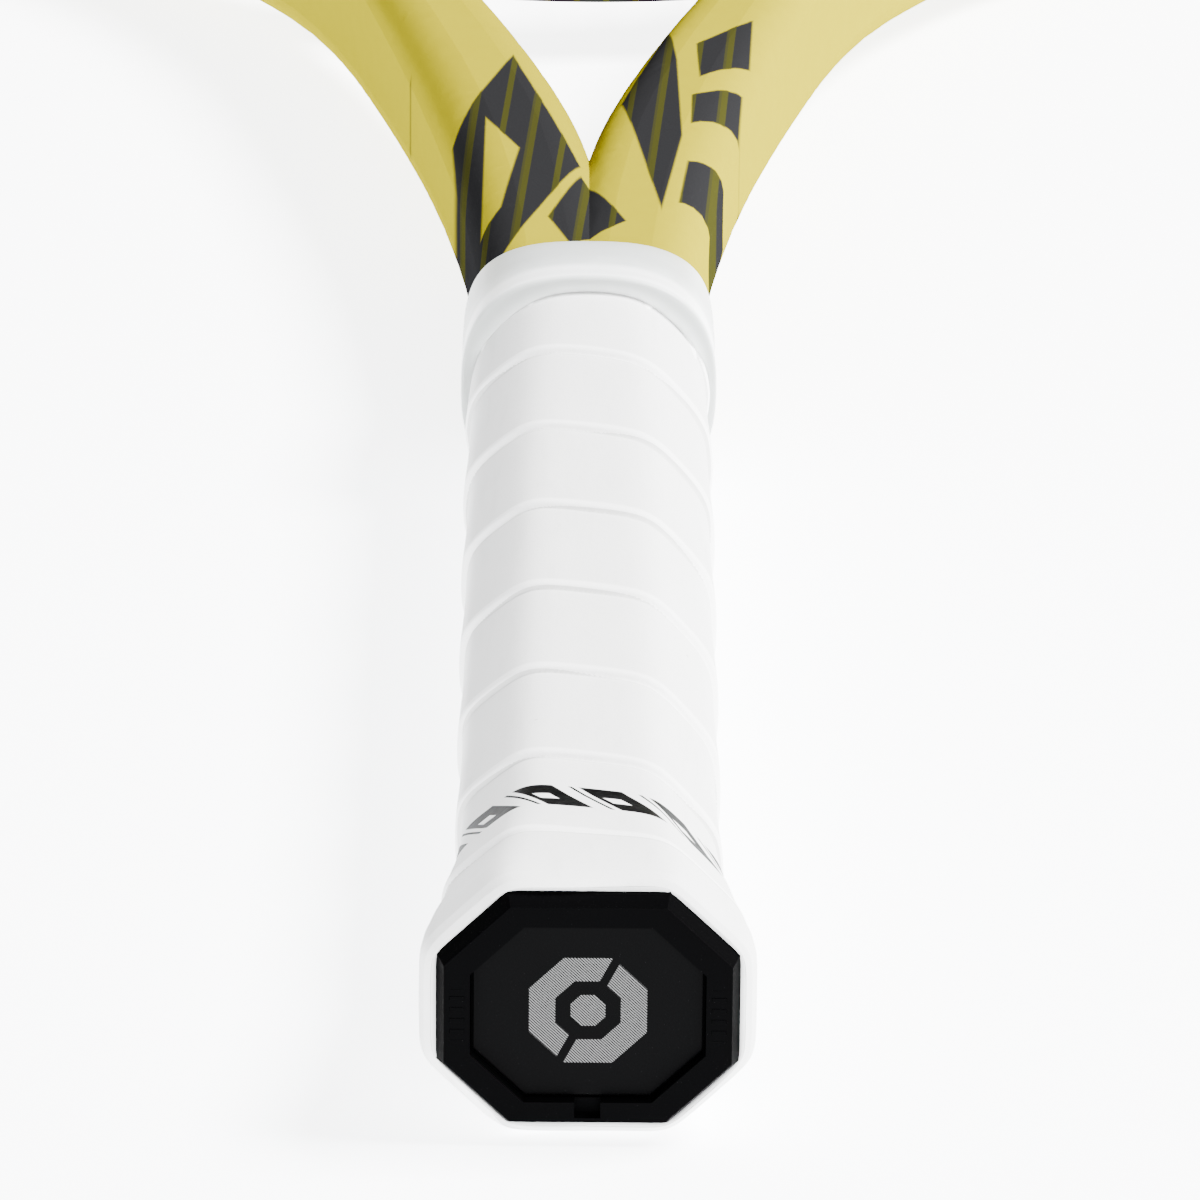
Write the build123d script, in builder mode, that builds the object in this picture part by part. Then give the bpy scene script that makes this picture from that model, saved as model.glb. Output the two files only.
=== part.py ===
"""Tennis racket: hollow hairpin frame, throat bridge, grommet strips, strings, handle and butt cap.

X runs across the racket, +Y from the butt to the head, +Z out of the string plane.
The origin is the centre of the butt cap's end face. Millimetres.
"""

import math
import os

from build123d import *

os.makedirs("parts", exist_ok=True)

# ---------------------------------------------------------------- driving dimensions
# Head: a four-centre oval, measured at the string side of the tube.
HEAD_BOTTOM = 366.0
HEAD_TOP = 671.7
HEAD_HALF = 122.5
END_RADIUS = 100.0
TUBE = 12.0  # thickness of the hoop tube in the string plane
WALL = 1.7

# Arms and shaft (left side; the right side is its mirror image)
LEG_X = 5.1
LEG_END = 40.0
ARM_START = 192.0
ARM_RADIUS = 385.0
ARM_TURN = 22.5
WEB = 1.0  # half of the middle web between the two legs

# Throat bridge
BRIDGE = 12.5
BRIDGE_DEPTH = 20.0
BRIDGE_REACH = 31.0

# String channel round the outside of the hoop
CHANNEL_FLOOR = 9.0
CHANNEL_HALF = 3.6
STRIP_THICK = 1.0
BRIDGE_FLOOR = 9.5
GUARD_SPAN = 59.2  # half angle of the bumper guard, seen from the centre of the top arc

# Strings
STRING_R = 0.65
WEAVE = 0.68
MAINS = 8
CROSSES = 19
CROSS_LOW = 395.1
CROSS_HIGH = 642.6
CROSS_CROWD = 0.215
LOOP_SIDE = 1.4
SHARE = 0.72
MOUTH = -1.6  # where a string bends as it leaves a barrel, string side
LOOP = 11.1  # how far out a loop runs over the hoop
BRIDGE_LOOP = 11.6

# Handle
PALLET = (30.0, 26.0)
PALLET_END = 188.0
CAP_SKIRT = 50.0
CAP_FACE = (37.4, 31.4)
CAP_FLARE = (40.0, 34.4)
WRAP = (34.5, 30.6)
WRAP_END = 196.0
DOOR = (30.4, 25.4)
DOOR_DEPTH = 1.5
DOOR_THICK = 1.8
LEDGE = 3.4
SOCKET_START = 9.0
CAVITY = (22.0, 17.0)

# ---------------------------------------------------------------- head and arm geometry
half_height = (HEAD_TOP - HEAD_BOTTOM) / 2
MID_Y = (HEAD_TOP + HEAD_BOTTOM) / 2
LOW_Y = HEAD_BOTTOM + END_RADIUS
TOP_Y = HEAD_TOP - END_RADIUS
SIDE_RADIUS = (HEAD_HALF**2 + (half_height - END_RADIUS) ** 2 - END_RADIUS**2) / (
    2 * (HEAD_HALF - END_RADIUS)
)
SIDE_X = SIDE_RADIUS - HEAD_HALF
JOIN = math.degrees(math.atan2(half_height - END_RADIUS, SIDE_X))

turn = math.radians(ARM_TURN)
ring = END_RADIUS + TUBE / 2
arm_x = -(LEG_X + ARM_RADIUS)
arm_y = ARM_START - LOW_Y
SHIFT = ((arm_x**2 + arm_y**2) - (ARM_RADIUS + ring) ** 2) / (
    -2 * (arm_x * math.cos(turn) + arm_y * math.sin(turn) + ARM_RADIUS + ring)
)
FLARE_RADIUS = ARM_RADIUS - SHIFT
FLARE_C = (arm_x + SHIFT * math.cos(turn), ARM_START + SHIFT * math.sin(turn))
MEET = math.degrees(math.atan2(LOW_Y - FLARE_C[1], -FLARE_C[0]))


def polar(centre, radius, degrees):
    """The point at a radius and an angle round a centre."""
    a = math.radians(degrees)
    return (centre[0] + radius * math.cos(a), centre[1] + radius * math.sin(a))


def oval(grow):
    """The head outline as a face, grown outward from the string side of the tube."""
    end = END_RADIUS + grow
    side = SIDE_RADIUS + grow
    with BuildSketch() as outline:
        with BuildLine():
            CenterArc((0, LOW_Y), end, 180 + JOIN, 180 - 2 * JOIN)
            CenterArc((-SIDE_X, MID_Y), side, -JOIN, 2 * JOIN)
            CenterArc((0, TOP_Y), end, JOIN, 180 - 2 * JOIN)
            CenterArc((SIDE_X, MID_Y), side, 180 - JOIN, 2 * JOIN)
        make_face()
    return outline.sketch


def hoop_band(low, high, half):
    """A closed band round the head between two growths, with this half height."""
    with BuildPart() as band:
        with BuildSketch():
            add(oval(high))
        extrude(amount=half, both=True)
        with BuildSketch():
            add(oval(low))
        extrude(amount=half + 1, both=True, mode=Mode.SUBTRACT)
    return band.part


def arm_band(low, high, half, start):
    """The band on the outside of the left arm, from an angle up to where it meets the hoop."""
    far = FLARE_RADIUS + TUBE / 2 - low
    near = FLARE_RADIUS + TUBE / 2 - high
    with BuildPart() as band:
        with BuildSketch():
            with BuildLine():
                CenterArc(FLARE_C, far, start, MEET - start)
                CenterArc(FLARE_C, near, start, MEET - start)
                Line(polar(FLARE_C, near, start), polar(FLARE_C, far, start))
                Line(polar(FLARE_C, near, MEET), polar(FLARE_C, far, MEET))
            make_face()
        extrude(amount=half, both=True)
    return band.part


def wedge(centre, start, size, reach=320.0, half=30.0):
    """A thick sector of the plane that cuts a band to length."""
    with BuildPart() as cut:
        with BuildSketch():
            with BuildLine():
                Polyline(
                    centre,
                    *[polar(centre, reach, start + size * k / 8) for k in range(9)],
                    close=True,
                )
            make_face()
        extrude(amount=half, both=True)
    return cut.part


def octagon(width, height, grow=0.0):
    """Draw the handle's octagon, twice as wide on its flats as on its slopes."""
    w = width / 2 + grow
    h = height / 2 + grow
    c = 0.25 * (width + height) / 2
    Polygon(
        (w, h - c),
        (w - c, h),
        (c - w, h),
        (-w, h - c),
        (-w, c - h),
        (c - w, -h),
        (w - c, -h),
        (w, c - h),
        align=None,
    )


def across(y):
    """The plane across the handle at a distance from the butt."""
    return Plane(origin=(0, y, 0), x_dir=(1, 0, 0), z_dir=(0, 1, 0))


# ---------------------------------------------------------------- frame tube
def station(kind, value):
    """A point on the tube's middle line, its direction and the tube's outer side there."""
    if kind == "leg":
        return (-LEG_X, value), (0, 1), (-1, 0)
    centre, radius, side = {
        "arm": ((arm_x, ARM_START), ARM_RADIUS, -1),
        "flare": (FLARE_C, FLARE_RADIUS, -1),
        "low": ((0, LOW_Y), ring, 1),
        "side": ((SIDE_X, MID_Y), SIDE_RADIUS + TUBE / 2, 1),
        "top": ((0, TOP_Y), ring, 1),
    }[kind]
    point = polar(centre, radius, value)
    radial = polar((0, 0), 1, value)
    out = (side * radial[0], side * radial[1])
    return point, (out[1], -out[0]), out


def arm_angle(y):
    """The angle on the long arm arc at a height."""
    return math.degrees(math.asin((y - ARM_START) / ARM_RADIUS))


# kind, place, outer half width, inner half width, depth
STATIONS = [
    ("leg", 164.0, 6.5, 6.5, 19.0),
    ("leg", 178.0, 7.6, 7.6, 20.6),
    ("arm", 0.0, 9.2, 9.2, 22.3),
    ("arm", arm_angle(206.0), 9.9, 9.9, 23.0),
    ("arm", arm_angle(221.0), 10.1, 10.1, 23.4),
    ("arm", arm_angle(236.0), 10.1, 10.4, 23.6),
    ("arm", arm_angle(251.0), 10.1, 10.8, 23.8),
    ("arm", arm_angle(266.0), 10.0, 11.0, 24.0),
    ("arm", arm_angle(281.0), 9.7, 10.4, 24.2),
    ("arm", arm_angle(296.0), 9.2, 9.4, 24.5),
    ("arm", arm_angle(311.0), 8.4, 8.4, 24.8),
    ("arm", arm_angle(325.0), 7.3, 7.5, 25.2),
    ("arm", ARM_TURN, 6.35, 6.9, 25.5),
    ("flare", ARM_TURN + (MEET - ARM_TURN) / 3, 6.0, 6.6, 25.6),
    ("flare", ARM_TURN + (MEET - ARM_TURN) * 2 / 3, 6.0, 6.4, 25.8),
    ("flare", MEET, 6.0, 6.3, 25.9),
    ("low", 180 + (MEET + JOIN) / 2, 6.0, 6.1, 26.0),
]
STATIONS += [("side", 180 + JOIN - k * JOIN / 9, 6.0, 6.0, 26.0 - 0.1 * k) for k in range(19)]
STATIONS += [("top", 180 - JOIN - k * (90 - JOIN) / 5, 6.0, 6.0, 24.2 - 0.14 * k) for k in range(1, 6)]


def tube_loft(shrink):
    """Loft the left half of the tube, made smaller all round by the wall when asked."""
    kind, start, outer, inner, depth = STATIONS[0]
    with BuildPart() as tube:
        with BuildSketch(across(start)):
            with Locations((-LEG_X, 0)):
                RectangleRounded(2 * (outer - shrink), depth - 2 * shrink, 0.6 * outer + 0.9 - shrink)
        extrude(amount=LEG_END - start - (1.0 if shrink else 0.0))
        for kind, value, outer, inner, depth in STATIONS:
            point, along, out = station(kind, value)
            shift = (outer - inner) / 2
            plane = Plane(
                origin=(point[0] + shift * out[0], point[1] + shift * out[1], 0),
                x_dir=(out[0], out[1], 0),
                z_dir=(along[0], along[1], 0),
            )
            width = outer + inner
            with BuildSketch(plane):
                RectangleRounded(width - 2 * shrink, depth - 2 * shrink, 0.3 * width + 0.9 - shrink)
        loft()
    return tube.part


outer_tube = tube_loft(0.0)
inner_tube = tube_loft(WALL)

# Barrel positions ------------------------------------------------------------------
main_x = [5.1, 15.4, 25.8]
step = 11.46
for count in range(MAINS - 3):
    main_x.append(main_x[-1] + step)
    step = step * 1.077
cross_y = []
for count in range(CROSSES):
    u = 2 * count / (CROSSES - 1) - 1
    warped = (1 - CROSS_CROWD) * u + CROSS_CROWD * u**3
    cross_y.append((CROSS_LOW + CROSS_HIGH) / 2 + (CROSS_HIGH - CROSS_LOW) / 2 * warped)


def unit(dx, dy):
    """A direction of length one."""
    size = math.hypot(dx, dy)
    return (dx / size, dy / size)


def head_edge_y(x, top):
    """Where a main string meets the line of string bends."""
    end = END_RADIUS + MOUTH
    side = SIDE_RADIUS + MOUTH
    if x <= end * math.cos(math.radians(JOIN)):
        rise = math.sqrt(end**2 - x**2)
        return TOP_Y + rise if top else LOW_Y - rise
    rise = math.sqrt(side**2 - (x + SIDE_X) ** 2)
    return MID_Y + rise if top else MID_Y - rise


def head_edge_x(y):
    """Where a cross string meets the line of string bends."""
    end = END_RADIUS + MOUTH
    side = SIDE_RADIUS + MOUTH
    drop = end * math.sin(math.radians(JOIN))
    if y > TOP_Y + drop:
        return math.sqrt(end**2 - (y - TOP_Y) ** 2)
    if y < LOW_Y - drop:
        return math.sqrt(end**2 - (y - LOW_Y) ** 2)
    return math.sqrt(side**2 - (y - MID_Y) ** 2) - SIDE_X


def outward(x, y):
    """The head outline's outward direction at a point with x above zero."""
    angle = math.degrees(math.atan2(y - MID_Y, x + SIDE_X))
    if angle > JOIN:
        return unit(x, y - TOP_Y)
    if angle < -JOIN:
        return unit(x, y - LOW_Y)
    return unit(x + SIDE_X, y - MID_Y)


def make_hole(x, y, route):
    """A barrel on the right side: where its string bends, its direction and its lengths."""
    if route == "bridge":
        end = LOW_Y - math.sqrt((END_RADIUS + BRIDGE_LOOP) ** 2 - x**2)
        length = y - end
        floor = length - BRIDGE_LOOP + BRIDGE_FLOOR + 0.55
        return {"at": (x, y), "dir": (0, -1), "loop": length, "floor": floor}
    if route == "arm":
        away = (-FLARE_C[0] - x, FLARE_C[1] - y)
        full = math.hypot(*away) - (FLARE_RADIUS + TUBE / 2 - LOOP)
        floor = full - LOOP + CHANNEL_FLOOR + 0.55
        return {"at": (x, y), "dir": unit(*away), "loop": full, "floor": floor}
    floor = CHANNEL_FLOOR + 0.55 - MOUTH
    return {"at": (x, y), "dir": outward(x, y), "loop": LOOP - MOUTH, "floor": floor}


LOW_ROUTES = ["bridge"] * 3 + ["arm"] * 2 + ["hoop"] * 3
holes = {}
for i, x in enumerate(main_x):
    holes["low", i] = make_hole(x, head_edge_y(x, False), LOW_ROUTES[i])
    holes["top", i] = make_hole(x, head_edge_y(x, True), "hoop")
for j, y in enumerate(cross_y):
    holes["cross", j] = make_hole(head_edge_x(y), y, "hoop")

# Barrels made wide enough for a tied string end as well
WIDE = [("low", 6), ("low", 4), ("top", 4)]
# How far a running string moves over in a barrel that it shares
SHIFTS = {("low", 6, -1): -SHARE, ("low", 6, 1): -SHARE, ("low", 4, 1): SHARE, ("top", 4, -1): SHARE}


def rods(keys, radius, wide, first, beyond, side=-1):
    """Rods along the barrels, from the string side to a length beyond the strip's floor."""
    made = []
    for key in keys:
        hole = holes[key]
        away = (side * hole["dir"][0], hole["dir"][1])
        start = (side * hole["at"][0] + first * away[0], hole["at"][1] + first * away[1], 0)
        with BuildPart() as rod:
            with BuildSketch(Plane(origin=start, z_dir=(*away, 0))):
                Circle(wide if key in WIDE else radius)
            extrude(amount=hole["floor"] + beyond - first)
        made.append(rod.part)
    return made


hoop_keys = [key for key in holes if key not in [("low", i) for i in range(3)]]
guard_keys = [("top", i) for i in range(MAINS)] + [("cross", j) for j in range(CROSSES - 4, CROSSES)]
strip_keys = [key for key in hoop_keys if key not in guard_keys]

# ---------------------------------------------------------------- hairpin frame
GUARD_C = (0, TOP_Y - 60)
ARM_BAND_START = 34.2
guard_cut = wedge(GUARD_C, 90 - GUARD_SPAN, 2 * GUARD_SPAN)
guard_fit = wedge(GUARD_C, 90 - GUARD_SPAN + 0.1, 2 * GUARD_SPAN - 0.2)
throat_cut = wedge((0, LOW_Y), 180 + MEET, 180 - 2 * MEET)


def channel(low, high, half, start=ARM_BAND_START):
    """The left half of the hoop's outer band, which goes on down the outside of the arm."""
    with BuildPart() as band:
        add(hoop_band(low, high, half))
        add(throat_cut, mode=Mode.SUBTRACT)
        add(arm_band(low, high, half, start))
        split(bisect_by=Plane.YZ, keep=Keep.BOTTOM)
    return band.part


with BuildPart() as void:
    add(inner_tube)
    split(bisect_by=Plane.YZ.offset(-WEB), keep=Keep.BOTTOM)
    add(
        channel(CHANNEL_FLOOR - WALL, TUBE + 6, CHANNEL_HALF + WALL, ARM_BAND_START - 1.5),
        mode=Mode.SUBTRACT,
    )

with BuildPart() as guard_seat:
    add(hoop_band(TUBE - 0.7, TUBE + 6, 9.3))
    add(guard_cut, mode=Mode.INTERSECT)
    split(bisect_by=Plane.YZ, keep=Keep.BOTTOM)

with BuildPart() as half_frame:
    add(outer_tube)
    split(bisect_by=Plane.YZ, keep=Keep.BOTTOM)
    add(void.part, mode=Mode.SUBTRACT)
    add(channel(CHANNEL_FLOOR, TUBE + 6, CHANNEL_HALF), mode=Mode.SUBTRACT)
    add(guard_seat.part, mode=Mode.SUBTRACT)
    add(rods(hoop_keys, 1.6, 2.05, -3.0, 6.0), mode=Mode.SUBTRACT)

with BuildPart() as hairpin_frame:
    add(half_frame.part)
    mirror(about=Plane.YZ)

# ---------------------------------------------------------------- throat bridge


def bridge_bar(low, high, depth, corner, reach):
    """A curved bar between the arms, round the centre of the lower arc."""
    middle = END_RADIUS + (low + high) / 2
    radial = polar((0, 0), 1, 270 - reach)
    plane = Plane(
        origin=(*polar((0, LOW_Y), middle, 270 - reach), 0),
        x_dir=(*radial, 0),
        z_dir=(-radial[1], radial[0], 0),
    )
    with BuildPart() as bar:
        with BuildSketch(plane):
            RectangleRounded(high - low, depth, corner)
        revolve(axis=Axis((0, LOW_Y, 0), (0, 0, 1)), revolution_arc=2 * reach)
    return bar.part


def low_sector(reach):
    """The sector of the lower arc that lies within an angle of straight down."""
    return wedge((0, LOW_Y), 270 - reach, 2 * reach)


with BuildPart() as bridge_void:
    add(bridge_bar(WALL, BRIDGE - WALL, BRIDGE_DEPTH - 2 * WALL, 3.2, 14.5))
    add(hoop_band(BRIDGE_FLOOR - WALL, BRIDGE + 4, CHANNEL_HALF + WALL), mode=Mode.SUBTRACT)

with BuildPart() as bridge_groove:
    add(hoop_band(BRIDGE_FLOOR, BRIDGE + 4, CHANNEL_HALF))
    add(low_sector(14.9), mode=Mode.INTERSECT)

arm_pair = [outer_tube, outer_tube.mirror(Plane.YZ)]
bridge_keys = [("low", i) for i in range(3)]
end_keys = [("low", i) for i in (3, 4)]

with BuildPart() as throat_bridge:
    add(bridge_bar(0, BRIDGE, BRIDGE_DEPTH, 4.9, BRIDGE_REACH))
    add(arm_pair, mode=Mode.SUBTRACT)
    add(bridge_void.part, mode=Mode.SUBTRACT)
    add(bridge_groove.part, mode=Mode.SUBTRACT)
    for side in (-1, 1):
        add(rods(bridge_keys + end_keys, 1.6, 2.05, -3.0, 6.0, side), mode=Mode.SUBTRACT)

# Beyond the arms the bar leaves two loose scraps, so only its middle is kept.
bridge_solid = throat_bridge.part.solids().sort_by(SortBy.VOLUME)[-1]

# ---------------------------------------------------------------- grommet strips


def with_barrels(strip, keys, side):
    """A strip with its barrels moulded on and bored."""
    with BuildPart() as moulding:
        add(strip)
        add(rods(keys, 1.5, 1.95, 0.8, 0.0, side))
        add(rods(keys, 1.0, 1.45, -1.0, 4.0, side), mode=Mode.SUBTRACT)
    return moulding.part


with BuildPart() as side_band:
    strip_low = CHANNEL_FLOOR + 0.05
    add(channel(strip_low, strip_low + STRIP_THICK, CHANNEL_HALF - 0.1, ARM_BAND_START + 0.3))
    add(wedge(GUARD_C, 90 - GUARD_SPAN - 0.1, 2 * GUARD_SPAN + 0.2), mode=Mode.SUBTRACT)

side_strip_left = with_barrels(side_band.part, strip_keys, -1)
side_strip_right = side_strip_left.mirror(Plane.YZ)

with BuildPart() as guard_band:
    add(hoop_band(CHANNEL_FLOOR + 0.05, TUBE + 1.3, CHANNEL_HALF - 0.1))
    add(hoop_band(TUBE - 0.65, TUBE + 1.3, 9.2))
    add(hoop_band(CHANNEL_FLOOR + 0.05 + STRIP_THICK, TUBE + 8, 2.6), mode=Mode.SUBTRACT)
    add(guard_fit, mode=Mode.INTERSECT)

bumper_guard = with_barrels(with_barrels(guard_band.part, guard_keys, -1), guard_keys, 1)

with BuildPart() as bridge_band:
    add(hoop_band(BRIDGE_FLOOR + 0.05, BRIDGE_FLOOR + 0.05 + STRIP_THICK, CHANNEL_HALF - 0.1))
    add(low_sector(14.4), mode=Mode.INTERSECT)

bridge_strip = with_barrels(with_barrels(bridge_band.part, bridge_keys, -1), bridge_keys, 1)

# ---------------------------------------------------------------- strings


def bend(key, side, shift=None):
    """Where a string bends on the string side of a barrel."""
    z = SHIFTS.get((*key, side), 0.0) if shift is None else shift
    return (side * holes[key]["at"][0], holes[key]["at"][1], z)


def exit_point(key, side, shift=None):
    """Where a string bends over on the outside of a barrel."""
    hole = holes[key]
    x, y, z = bend(key, side, shift)
    return (x + side * hole["dir"][0] * hole["loop"], y + hole["dir"][1] * hole["loop"], z)


def loop_points(first, last, z, radius):
    """Two points that carry a loop to one side of the channel, lifted to follow the hoop."""
    span = math.dist(first[:2], last[:2])
    lift = 0.84 * span**2 / (8 * radius)
    out_x, out_y = unit(last[1] - first[1], first[0] - last[0])
    middle = ((first[0] + last[0]) / 2, (first[1] + last[1]) / 2)
    if out_x * middle[0] + out_y * (middle[1] - MID_Y) < 0:
        out_x, out_y = -out_x, -out_y
    points = []
    for part in (0.3, 0.7):
        x = first[0] + part * (last[0] - first[0]) + lift * out_x
        y = first[1] + part * (last[1] - first[1]) + lift * out_y
        points.append((x, y, z))
    return points


def crosses_on(i):
    """The cross strings that a main string meets, lowest first."""
    low = head_edge_y(main_x[i], False)
    high = head_edge_y(main_x[i], True)
    return [j for j in range(CROSSES) if low + 3 < cross_y[j] < high - 3]


def main_run(i, side, upward):
    """One main string from edge to edge, over and under the cross strings."""
    points = [bend(("low", i), side)]
    for j in crosses_on(i):
        rank = i if side > 0 else -1 - i
        points.append((side * main_x[i], cross_y[j], WEAVE if (rank + j) % 2 else -WEAVE))
    points.append(bend(("top", i), side))
    return points if upward else points[::-1]


def cross_run(j, rightward):
    """One cross string from edge to edge, under and over the main strings."""
    points = [bend(("cross", j), -1)]
    met = sorted(
        (side * main_x[i], i if side > 0 else -1 - i)
        for i in range(MAINS)
        for side in (-1, 1)
        if j in crosses_on(i)
    )
    for x, rank in met:
        points.append((x, cross_y[j], -WEAVE if (rank + j) % 2 else WEAVE))
    points.append(bend(("cross", j), 1))
    return points if rightward else points[::-1]


def tied_end(key, side, shift, run_key, run_z):
    """A string end: from beside its knot, out through the shared barrel and along to the next one."""
    inner = bend(key, side, shift)
    outer = exit_point(key, side, shift)
    start = exit_point(run_key, side)
    tail = (inner[0], inner[1] + (-1.9 if key[0] == "top" else 1.9), shift)
    return [tail, inner, outer, *loop_points(outer, start, run_z, LOOP + END_RADIUS), start]


def string_solid(points, name):
    """Sweep one string along its whole route."""
    first = Vector(*points[0])
    with BuildPart() as cord:
        with BuildLine() as route:
            FilletPolyline(*points, radius=1.1)
        with BuildSketch(Plane(origin=first, z_dir=Vector(*points[1]) - first)):
            Circle(STRING_R)
        sweep()
    length = sum(edge.length for edge in route.edges())
    ratio = cord.part.volume / (math.pi * STRING_R**2 * length)
    print(name, "length", round(length, 1), "volume ratio", round(ratio, 4))
    return cord.part


main_order = [(i, -1) for i in reversed(range(MAINS))] + [(i, 1) for i in range(MAINS)]
main_route = tied_end(("low", 6), -1, SHARE, ("low", 7), LOOP_SIDE)
for count, (i, side) in enumerate(main_order):
    upward = count % 2 == 0
    main_route += main_run(i, side, upward)
    end = ("top", i) if upward else ("low", i)
    main_route.append(exit_point(end, side))
    if count + 1 < len(main_order):
        after, after_side = main_order[count + 1]
        follow = ("top", after) if upward else ("low", after)
        landing = exit_point(follow, after_side)
        bridge_loop = not upward and i < 3 and after < 3
        radius = END_RADIUS + (BRIDGE_LOOP if bridge_loop else LOOP)
        main_route += loop_points(main_route[-1], landing, LOOP_SIDE, radius)
        main_route.append(landing)
main_route += tied_end(("low", 6), 1, SHARE, ("low", 7), LOOP_SIDE)[:-1][::-1]

cross_route = tied_end(("top", 4), -1, -SHARE, ("cross", CROSSES - 1), -LOOP_SIDE)
for count, j in enumerate(reversed(range(CROSSES))):
    rightward = count % 2 == 0
    side = 1 if rightward else -1
    cross_route += cross_run(j, rightward)
    cross_route.append(exit_point(("cross", j), side))
    if j > 0:
        landing = exit_point(("cross", j - 1), side)
        cross_route += loop_points(cross_route[-1], landing, -LOOP_SIDE, END_RADIUS + LOOP)
        cross_route.append(landing)
cross_route += tied_end(("low", 4), 1, -SHARE, ("cross", 0), -LOOP_SIDE)[:-1][::-1]

main_string = string_solid(main_route, "main string")
cross_string = string_solid(cross_route, "cross string")


def knot(i, side, top):
    """Two turns of string round a main string close to the frame."""
    key = ("top" if top else "low", i)
    x, y, z = bend(key, side)
    crossing = crosses_on(i)[-1 if top else 0]
    rank = i if side > 0 else -1 - i
    target = WEAVE if (rank + crossing) % 2 else -WEAVE
    sign = -1 if top else 1
    with BuildPart() as tied:
        for away in (3.3, 4.6):
            share = away / abs(cross_y[crossing] - y)
            centre = (x, y + sign * away, z + share * (target - z))
            with Locations(Plane(origin=centre, x_dir=(1, 0, 0), z_dir=(0, 1, 0))):
                Torus(1.4, STRING_R - 0.02)
    return tied.part


with BuildPart() as string_knots:
    add(knot(6, -1, False))
    add(knot(6, 1, False))
    add(knot(4, 1, False))
    add(knot(4, -1, True))

# ---------------------------------------------------------------- handle


def octagon_bar(sizes, grow=0.0):
    """Loft straight-sided octagons along the handle; each size is distance, width, height."""
    with BuildPart() as bar:
        for y, width, height in sizes:
            with BuildSketch(across(y)):
                octagon(width, height, grow)
        loft(ruled=True)
    return bar.part


def rounded_bar(sizes, grow=0.0):
    """Loft rounded boxes along the handle; each size is distance, width, height, corner."""
    with BuildPart() as bar:
        for y, width, height, corner in sizes:
            with BuildSketch(across(y)):
                RectangleRounded(width + 2 * grow, height + 2 * grow, corner + grow)
        loft(ruled=True)
    return bar.part


CAP_OUTSIDE = [
    (0.0, *CAP_FACE),
    (2.0, 39.0, 33.4),
    (3.4, *CAP_FLARE),
    (9.0, 39.4, 33.9),
    (20.0, 34.6, 30.0),
    (30.0, 31.0, 27.0),
    (36.0, *PALLET),
    (CAP_SKIRT, *PALLET),
]
WRAP_OUTSIDE = [
    (2.3, 42.2, 36.6),
    (4.5, 44.0, 38.4),
    (9.0, 43.6, 38.0),
    (20.0, 39.0, 34.6),
    (30.0, 35.6, 31.7),
    (37.0, *WRAP),
    (184.0, *WRAP),
    (190.0, 33.6, 30.2),
    (WRAP_END, 33.0, 29.6),
]

with BuildPart() as cap_staple:
    with Locations((0, 38.0, PALLET[1] / 2 - 0.3)):
        Box(10.0, 1.2, 0.6)
    with Locations((-4.7, 38.0, PALLET[1] / 2 - 1.6), (4.7, 38.0, PALLET[1] / 2 - 1.6)):
        Box(0.6, 1.2, 3.2)

with BuildPart() as butt_cap_staples:
    add(cap_staple.part)
    mirror(about=Plane.XY)

with BuildPart() as grip_staple:
    with Locations((PALLET[0] / 2 + 0.35, 45.0, 0)):
        Box(0.6, 1.2, 8.0)
    with Locations((PALLET[0] / 2 - 0.95, 45.0, -3.7), (PALLET[0] / 2 - 0.95, 45.0, 3.7)):
        Box(3.2, 1.2, 0.6)

with BuildPart() as handle_pallet:
    add(octagon_bar([(SOCKET_START + 0.1, *PALLET), (CAP_SKIRT + 0.1, *PALLET)], -1.1))
    add(octagon_bar([(CAP_SKIRT + 0.1, *PALLET), (PALLET_END - 4, *PALLET)]))
    add(arm_pair, mode=Mode.SUBTRACT)
    with BuildSketch(across(SOCKET_START - 1)):
        RectangleRounded(*CAVITY, 5.0)
    extrude(amount=LEG_END + 1 - SOCKET_START, mode=Mode.SUBTRACT)
    add([butt_cap_staples.part, grip_staple.part], mode=Mode.SUBTRACT)

with BuildPart() as half_plug:
    with BuildSketch(across(LEG_END + 1)):
        with Locations((-LEG_X, 0)):
            RectangleRounded(9.5, 15.5, 3.0)
    extrude(amount=18)
    split(bisect_by=Plane.YZ.offset(-WEB - 0.05), keep=Keep.BOTTOM)

with BuildPart() as shaft_foam_plugs:
    add(half_plug.part)
    mirror(about=Plane.YZ)

with BuildPart() as butt_cap:
    add(octagon_bar(CAP_OUTSIDE))
    add(octagon_bar([(-1, *DOOR), (LEDGE, *DOOR)], 0.1), mode=Mode.SUBTRACT)
    with BuildSketch(across(LEDGE - 1)):
        octagon(25.0, 20.0)
    extrude(amount=SOCKET_START, mode=Mode.SUBTRACT)
    add(octagon_bar([(SOCKET_START, *PALLET), (CAP_SKIRT + 1, *PALLET)], -1.0), mode=Mode.SUBTRACT)
    with Locations((0, 0.75, -DOOR[1] / 2 - 1.15)):
        Box(3.4, 1.5, 2.5, mode=Mode.SUBTRACT)
    add([butt_cap_staples.part, grip_staple.part], mode=Mode.SUBTRACT)

with BuildPart() as trap_door:
    with BuildSketch(across(DOOR_DEPTH)):
        octagon(*DOOR)
    extrude(amount=DOOR_THICK)
    front = trap_door.faces().sort_by(Axis.Y)[0]
    chamfer(front.edges(), length=0.4)
    with Locations((0, 6.0, 9.2), (0, 6.0, -9.2)):
        Box(8.0, 5.6, 1.3)

WRAP_INSIDE = CAP_OUTSIDE[:-1] + [(183.0, *PALLET), (188.0, 31.0, 27.0), (WRAP_END + 1, 31.0, 27.0)]
with BuildPart() as grip_wrap:
    add(octagon_bar(WRAP_OUTSIDE))
    add(octagon_bar(WRAP_INSIDE, 0.06), mode=Mode.SUBTRACT)
    add(grip_staple.part, mode=Mode.SUBTRACT)

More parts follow.
